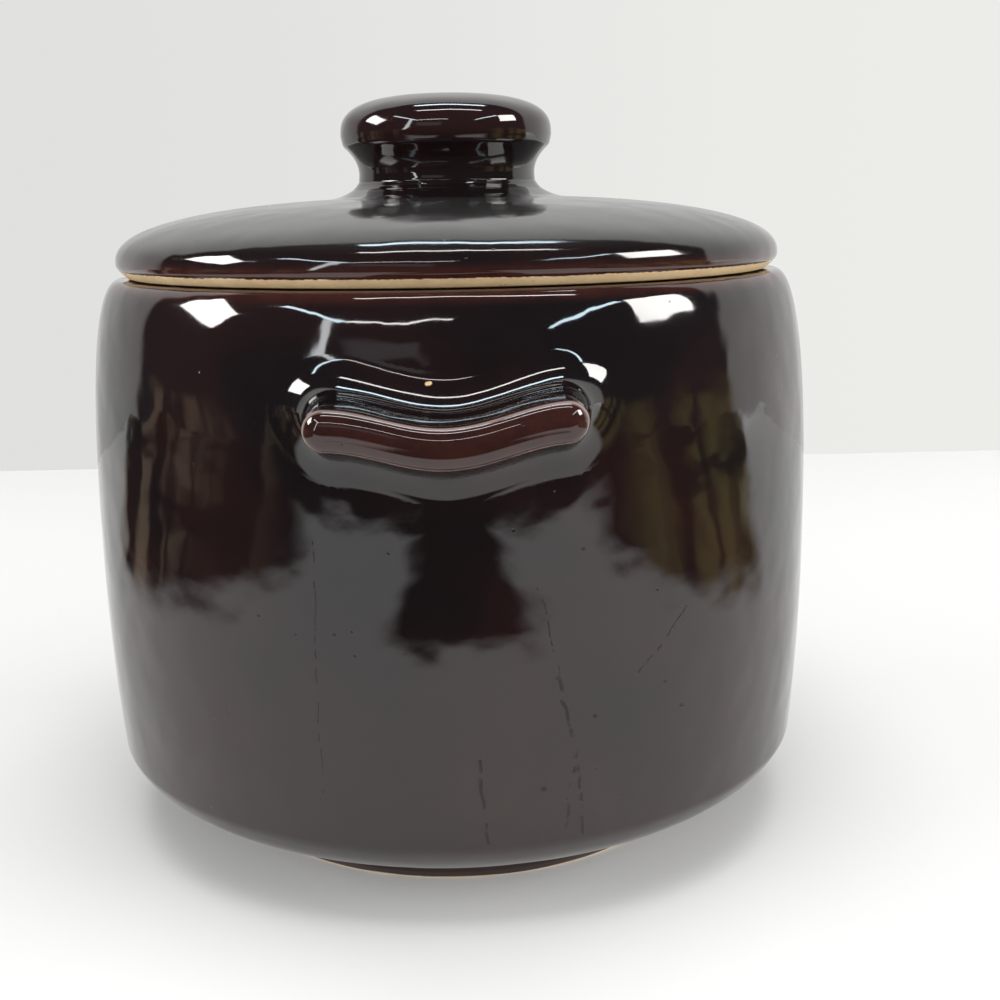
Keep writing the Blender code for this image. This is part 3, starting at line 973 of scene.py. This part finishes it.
# Camera, fitted to the photographed outline
CAMERA_DISTANCE = 0.360
CAMERA_HEIGHT = 0.1622
CAMERA_AZIMUTH = math.radians(0.7)
CAMERA_PITCH = math.radians(12.68)
CAMERA_YAW = math.radians(2.01) - CAMERA_AZIMUTH
CAMERA_ROLL = math.radians(-0.95)
CAMERA_NEAREST = 0.01
IMAGE_SIZE = 1000
FOCAL_PIXELS = 1317.0
SENSOR_WIDTH = 36.0

# Table, and where the glaze's mirror image of it ends
TABLE_REACH = 1.6
TABLE_BACK = 0.477
TABLE_LEVEL = -0.0001
TABLE_COLOUR = colour(0.86, 0.86, 0.85)
TABLE_SIDE = (0.28, 0.36)
TABLE_SIDE_BEARING = (0.60, 0.72)
TABLE_FRONT = (-0.50, -0.62)
TABLE_NOTCH_MIDDLE = 0.01
TABLE_NOTCH_WIDTH = (0.13, 0.08)
TABLE_NOTCH_FRONT = (-0.27, -0.31)
WALL_SLOPE_LEFT = -0.42
WALL_SLOPE_RIGHT = 0.09
WALL_FOOT_EDGE = (0.04, -0.02)

# Pale wall behind the pot: as the camera sees it, and as the glaze mirrors it
BACKDROP_LEFT = colour(0.750, 0.755, 0.735)
BACKDROP_RIGHT = colour(0.840, 0.840, 0.815)
BACKDROP_SIDES = (-0.3, 0.35)
WALL_SEEN_LEFT = colour(0.75, 0.75, 0.74)
WALL_SEEN_RIGHT = colour(1.02, 1.01, 0.99)
WALL_SEEN_HIGH = colour(1.12, 1.12, 1.10)
WALL_SEEN_SIDES = (0.1, 0.95)
WALL_SEEN_UP = (0.25, 0.60)
WALL_START_SIDES = (-0.3, 0.3)
WALL_START = (0.34, 0.08)
WALL_START_EDGE = (-0.03, 0.05)
WALL_TOP_SLOPE = 2.2
WALL_TOP_EDGE = (-0.10, 0.06)

# Dark room that the glaze mirrors, with dim patches low at both sides
ROOM_SEEN = colour(0.045, 0.045, 0.055)
FLOOR_SEEN = colour(0.035, 0.024, 0.022)
PATCH_LEFT = colour(0.46, 0.35, 0.25)
PATCH_RIGHT = colour(0.42, 0.35, 0.13)
PATCH_SIDES = (-0.1, 0.1)
PATCH_SCALE = 7.0
PATCH_SHARE = (0.42, 0.60)
PATCH_STRETCH = (1.0, 1.0, 0.3)
PATCH_BEARING = (0.72, 0.88)
PATCH_TOP = (0.03, -0.03)
PATCH_GROUP_SCALE = 2.6
PATCH_GROUP_SHARE = (0.36, 0.56)

# Grey panel and slanted bright strip in that room, on the camera's side
PANEL_SEEN = colour(0.50, 0.52, 0.56)
PANEL_SHARE = 0.8
PANEL_X = -0.30
PANEL_Z = 0.26
PANEL_WIDTH = (0.24, 0.17)
PANEL_HEIGHT = (0.09, 0.05)
STRIP_SEEN = colour(8.0, 8.2, 8.4)
STRIP_X = -0.692
STRIP_Z = 0.24
STRIP_SLANT = 0.3
STRIP_WIDTH = (0.026, 0.014)
STRIP_HEIGHT = (0.28, 0.22)

# Light: even all round, from soft lamps, and from cards that only the glaze mirrors
WHITE = colour(1.0, 1.0, 1.0)
WARM_WHITE = colour(1.0, 0.98, 0.95)
COOL_WHITE = colour(0.72, 0.90, 1.0)
AMBIENT = 0.36
LAMP_AIM = Vector((0.0, 0.0, 0.08))
SOFT_LAMPS = (
    ("soft_left", (-1.5, -0.30, 0.42), (1.4, 0.7), 16.0),
    ("soft_right", (1.5, -0.30, 0.45), (1.4, 0.7), 21.0),
    ("soft_front", (0.1, -1.75, 0.62), (1.6, 0.9), 13.0),
    ("soft_top", (0.0, -0.3, 1.8), (1.2, 1.2), 17.0),
)
WINDOW_LIGHT = 17.0
WINDOW_DISTANCE = 1.6
SHOULDER_LEVEL = 0.12
WINDOWS = (
    ("window_left", ((-100, 23), (-97, 42), (-69, 27), (-78, 15))),
    ("window_right", ((89, 36), (64, 38), (61, 18), (84, 19))),
)
CEILING_LIGHT = 17.0
CEILING_HEIGHT = 2.2
CEILING_LAMPS = (
    ("lamp_near", (-0.52, 0.50), (0.72, 0.50), 0.16, COOL_WHITE),
    ("lamp_over", (-0.75, -0.50), (1.05, -0.50), 0.12, WARM_WHITE),
    ("lamp_front", (-2.20, -3.50), (0.11, -3.50), 0.16, WARM_WHITE),
    ("lamp_left", (-2.23, -1.03), (-2.23, -3.41), 0.20, COOL_WHITE),
    ("lamp_right", (2.40, -1.25), (2.75, -4.18), 0.20, COOL_WHITE),
)


def make_camera():
    """Camera at the photograph's place and angle."""
    data = bpy.data.cameras.new("camera")
    data.sensor_width = SENSOR_WIDTH
    data.lens = FOCAL_PIXELS * SENSOR_WIDTH / IMAGE_SIZE
    data.clip_start = CAMERA_NEAREST
    camera = bpy.data.objects.new("camera", data)
    ahead = Vector((math.sin(CAMERA_YAW) * math.cos(CAMERA_PITCH),
                    math.cos(CAMERA_YAW) * math.cos(CAMERA_PITCH), -math.sin(CAMERA_PITCH)))
    level = Vector((math.cos(CAMERA_YAW), -math.sin(CAMERA_YAW), 0.0))
    upright = level.cross(ahead)
    right = math.cos(CAMERA_ROLL) * level + math.sin(CAMERA_ROLL) * upright
    up = -math.sin(CAMERA_ROLL) * level + math.cos(CAMERA_ROLL) * upright
    turn = Matrix((right, up, -ahead)).transposed()
    place = Vector((CAMERA_DISTANCE * math.sin(CAMERA_AZIMUTH),
                    -CAMERA_DISTANCE * math.cos(CAMERA_AZIMUTH), CAMERA_HEIGHT))
    camera.matrix_world = Matrix.Translation(place) @ turn.to_4x4()
    bpy.context.scene.collection.objects.link(camera)
    bpy.context.scene.camera = camera


def flat_object(name, corners):
    """Object of one flat face with four corners."""
    mesh = bpy.data.meshes.new(name)
    mesh.from_pydata(corners, [], [(0, 1, 2, 3)])
    flat = bpy.data.objects.new(name, mesh)
    bpy.context.scene.collection.objects.link(flat)
    return flat


def seen_in_glaze(graph):
    """1 for a reflection that the camera sees, and 0 for any other ray."""
    path = graph.node("ShaderNodeLightPath").outputs
    direct = graph.math("LESS_THAN", path["Diffuse Depth"], 0.5)
    return graph.product(path["Is Glossy Ray"], direct)


def patch_colour(graph, x):
    """Colour of the dim patches at the left and at the right."""
    return graph.mix(graph.ramp(x, *PATCH_SIDES), PATCH_LEFT, PATCH_RIGHT)


def floor_beyond(graph, place, outward, x, bearing):
    """Dark floor beyond the table, with dim patches towards the sides."""
    streaks = graph.ramp(graph.noise(outward, PATCH_SCALE, 1.5, 0.4), *PATCH_SHARE)
    groups = graph.ramp(graph.noise(place, PATCH_GROUP_SCALE, 1.5, 0.4), *PATCH_GROUP_SHARE)
    to_side = graph.ramp(graph.math("ABSOLUTE", bearing), *PATCH_BEARING)
    return graph.mix(graph.product(streaks, groups, to_side), FLOOR_SEEN, patch_colour(graph, x))


def off_table(graph, x, y, bearing):
    """1 past the sides and the front of the photographed table, and in the notch in its front."""
    wall_foot = graph.largest(graph.product(x, WALL_SLOPE_LEFT), graph.product(x, WALL_SLOPE_RIGHT))
    before_wall = graph.ramp(graph.math("SUBTRACT", y, wall_foot), *WALL_FOOT_EDGE)
    sideways = graph.ramp(graph.math("ABSOLUTE", x), *TABLE_SIDE)
    to_side = graph.ramp(graph.math("ABSOLUTE", bearing), *TABLE_SIDE_BEARING)
    sides = graph.product(sideways, to_side, before_wall)
    front = graph.ramp(y, *TABLE_FRONT)
    middle = graph.ramp(graph.away(x, TABLE_NOTCH_MIDDLE), *TABLE_NOTCH_WIDTH)
    notch = graph.product(middle, graph.ramp(y, *TABLE_NOTCH_FRONT))
    return graph.largest(sides, front, notch)


def make_floor():
    """Pale table top, whose reflection ends where the photographed table does."""
    floor = flat_object("table", [
        (-TABLE_REACH, -TABLE_REACH, TABLE_LEVEL),
        (TABLE_REACH, -TABLE_REACH, TABLE_LEVEL),
        (TABLE_REACH, TABLE_BACK, TABLE_LEVEL),
        (-TABLE_REACH, TABLE_BACK, TABLE_LEVEL),
    ])
    material, graph = new_material("table_cloth")
    place = graph.node("ShaderNodeTexCoord").outputs["Object"]
    normalize = graph.node("ShaderNodeVectorMath", operation="NORMALIZE")
    graph.feed(normalize.inputs[0], place)
    outward = normalize.outputs[0]
    x, y, _ = graph.axes(place)
    bearing, _, _ = graph.axes(outward)
    cloth = graph.node("ShaderNodeBsdfDiffuse")
    graph.feed(cloth.inputs["Color"], TABLE_COLOUR)
    beyond = graph.node("ShaderNodeEmission")
    graph.feed(beyond.inputs["Color"], floor_beyond(graph, place, outward, x, bearing))
    share = graph.product(off_table(graph, x, y, bearing), seen_in_glaze(graph))
    graph.show("ShaderNodeOutputMaterial", graph.mix_shaders(share, cloth.outputs[0], beyond.outputs[0]))
    floor.data.materials.append(material)


def card(name, corners, tint, strength):
    """Lit panel that only the glaze's reflections show, and that casts no light on anything."""
    panel = flat_object(name, corners)
    material, graph = new_material(name)
    material.cycles.emission_sampling = "NONE"
    light = graph.node("ShaderNodeEmission")
    graph.feed_all(light, {"Color": tint, "Strength": graph.product(seen_in_glaze(graph), strength)})
    graph.show("ShaderNodeOutputMaterial", light.outputs[0])
    panel.data.materials.append(material)
    panel.visible_camera = False
    panel.visible_diffuse = False
    panel.visible_shadow = False
    panel.visible_transmission = False


def ceiling_lamp(name, start, end, width, tint):
    """Narrow lamp along the ceiling from start to end, each (x, y)."""
    along = (Vector(end) - Vector(start)).normalized()
    side = Vector((-along.y, along.x)) * 0.5 * width
    corners = [Vector(start) + side, Vector(end) + side, Vector(end) - side, Vector(start) - side]
    card(name, [(point.x, point.y, CEILING_HEIGHT) for point in corners], tint, CEILING_LIGHT)


def from_pot(azimuth, elevation, distance):
    """Place at a direction from the pot's shoulder; azimuth 0 is towards the camera and 90 to the right."""
    across = distance * math.cos(math.radians(elevation))
    x = across * math.sin(math.radians(azimuth))
    y = -across * math.cos(math.radians(azimuth))
    return x, y, SHOULDER_LEVEL + distance * math.sin(math.radians(elevation))


def make_cards():
    """Windows at both sides and rows of lamps overhead, as the photographed glaze mirrors them."""
    for name, directions in WINDOWS:
        corners = [from_pot(azimuth, elevation, WINDOW_DISTANCE) for azimuth, elevation in directions]
        card(name, corners, WARM_WHITE, WINDOW_LIGHT)
    for lamp in CEILING_LAMPS:
        ceiling_lamp(*lamp)


def soft_lamp(name, place, size, power):
    """Soft lamp aimed at the pot, which the glaze doesn't mirror."""
    data = bpy.data.lights.new(name, "AREA")
    data.shape = "RECTANGLE"
    data.size, data.size_y = size
    data.energy = power
    lamp = bpy.data.objects.new(name, data)
    lamp.location = place
    aim = LAMP_AIM - Vector(place)
    lamp.rotation_mode = "QUATERNION"
    lamp.rotation_quaternion = aim.to_track_quat("-Z", "Y")
    lamp.visible_glossy = False
    lamp.visible_camera = False
    bpy.context.scene.collection.objects.link(lamp)


def on_pale_wall(graph, x, y, z):
    """1 where a direction meets the pale wall behind the pot."""
    start = graph.ramp(x, *WALL_START_SIDES, *WALL_START)
    inside = graph.ramp(graph.math("SUBTRACT", y, start), *WALL_START_EDGE)
    under_top = graph.ramp(graph.math("SUBTRACT", graph.product(y, WALL_TOP_SLOPE), z), *WALL_TOP_EDGE)
    return graph.product(inside, under_top)


def pale_wall(graph, x, z):
    """Pale wall as the glaze mirrors it, lighter to the right and higher up."""
    seen = graph.mix(graph.ramp(x, *WALL_SEEN_SIDES), WALL_SEEN_LEFT, WALL_SEEN_RIGHT)
    return graph.mix(graph.ramp(z, *WALL_SEEN_UP), seen, WALL_SEEN_HIGH)


def dark_room(graph, direction, x, y, z):
    """Dark room with dim patches low at its sides, a grey panel and a slanted bright strip."""
    patches = graph.noise(graph.stretched(direction, PATCH_STRETCH), PATCH_SCALE, 1.5, 0.4)
    to_side = graph.ramp(graph.math("ABSOLUTE", x), *PATCH_BEARING)
    patched = graph.product(graph.ramp(patches, *PATCH_SHARE), graph.ramp(z, *PATCH_TOP), to_side)
    room = graph.mix(patched, ROOM_SEEN, patch_colour(graph, x))
    before_pot = graph.math("LESS_THAN", y, 0.0)
    panel = graph.product(graph.ramp(graph.away(z, PANEL_Z), *PANEL_HEIGHT),
                          graph.ramp(graph.away(x, PANEL_X), *PANEL_WIDTH), before_pot, PANEL_SHARE)
    room = graph.mix(panel, room, PANEL_SEEN)
    beside = graph.math("SUBTRACT", graph.math("SUBTRACT", x, STRIP_X), graph.product(z, STRIP_SLANT))
    strip = graph.product(graph.ramp(graph.math("ABSOLUTE", beside), *STRIP_WIDTH),
                          graph.ramp(graph.away(z, STRIP_Z), *STRIP_HEIGHT), before_pot)
    return graph.mix(strip, room, STRIP_SEEN)


def background(graph, tint, strength=1.0):
    """World's shader of one colour."""
    made = graph.node("ShaderNodeBackground")
    graph.feed_all(made, {"Color": tint, "Strength": strength})
    return made.outputs[0]


def make_world():
    """Even light all round, a pale wall behind, and a darker room in the glaze's reflections."""
    world = bpy.data.worlds.new("studio")
    bpy.context.scene.world = world
    world.use_nodes = True
    graph = Graph(world.node_tree)
    direction = graph.node("ShaderNodeTexCoord").outputs["Generated"]
    x, y, z = graph.axes(direction)
    mirrored = graph.mix(on_pale_wall(graph, x, y, z), dark_room(graph, direction, x, y, z),
                         pale_wall(graph, x, z))
    backdrop = graph.mix(graph.ramp(x, *BACKDROP_SIDES), BACKDROP_LEFT, BACKDROP_RIGHT)
    lit = graph.mix_shaders(seen_in_glaze(graph), background(graph, WHITE, AMBIENT),
                            background(graph, mirrored))
    camera_ray = graph.node("ShaderNodeLightPath").outputs["Is Camera Ray"]
    graph.show("ShaderNodeOutputWorld", graph.mix_shaders(camera_ray, lit, background(graph, backdrop)))


def make_studio():
    """Camera, table, lamps and surroundings."""
    make_camera()
    make_floor()
    make_cards()
    for lamp in SOFT_LAMPS:
        soft_lamp(*lamp)
    make_world()
    bpy.context.scene.view_settings.view_transform = "Standard"


def make_pieces():
    """The glazed pot, its lugs, its lid and the knob, each in place of its solid."""
    pot = turned("glazed_pot", pot_profile(), POT_STEPS)
    dress(pot, "pot_body", "pot", glaze("pot_glaze", pot_bare, pot_thin, marks=pot_marks))
    lug_glaze = glaze("handle_glaze", pinhole, lug_thin, crest_highlight=lug_crest_highlight)
    front = lug("front_lug", LUG_TILT, False)
    dress(front, "handle_front", "pot", lug_glaze)
    rear = lug("rear_lug", 0.0, True)
    dress(rear, "handle_rear", "pot", lug_glaze)
    lid = turned("domed_lid", lid_profile(), POT_STEPS)
    dress(lid, "lid", "lid", glaze("lid_glaze", lid_bare, lid_thin, lid_wear_and_sheen))
    knob = turned("waisted_knob", knob_profile(), KNOB_STEPS)
    dress(knob, "lid_knob", "lid", glaze("knob_glaze", no_bare, knob_thin))


make_pieces()
make_studio()
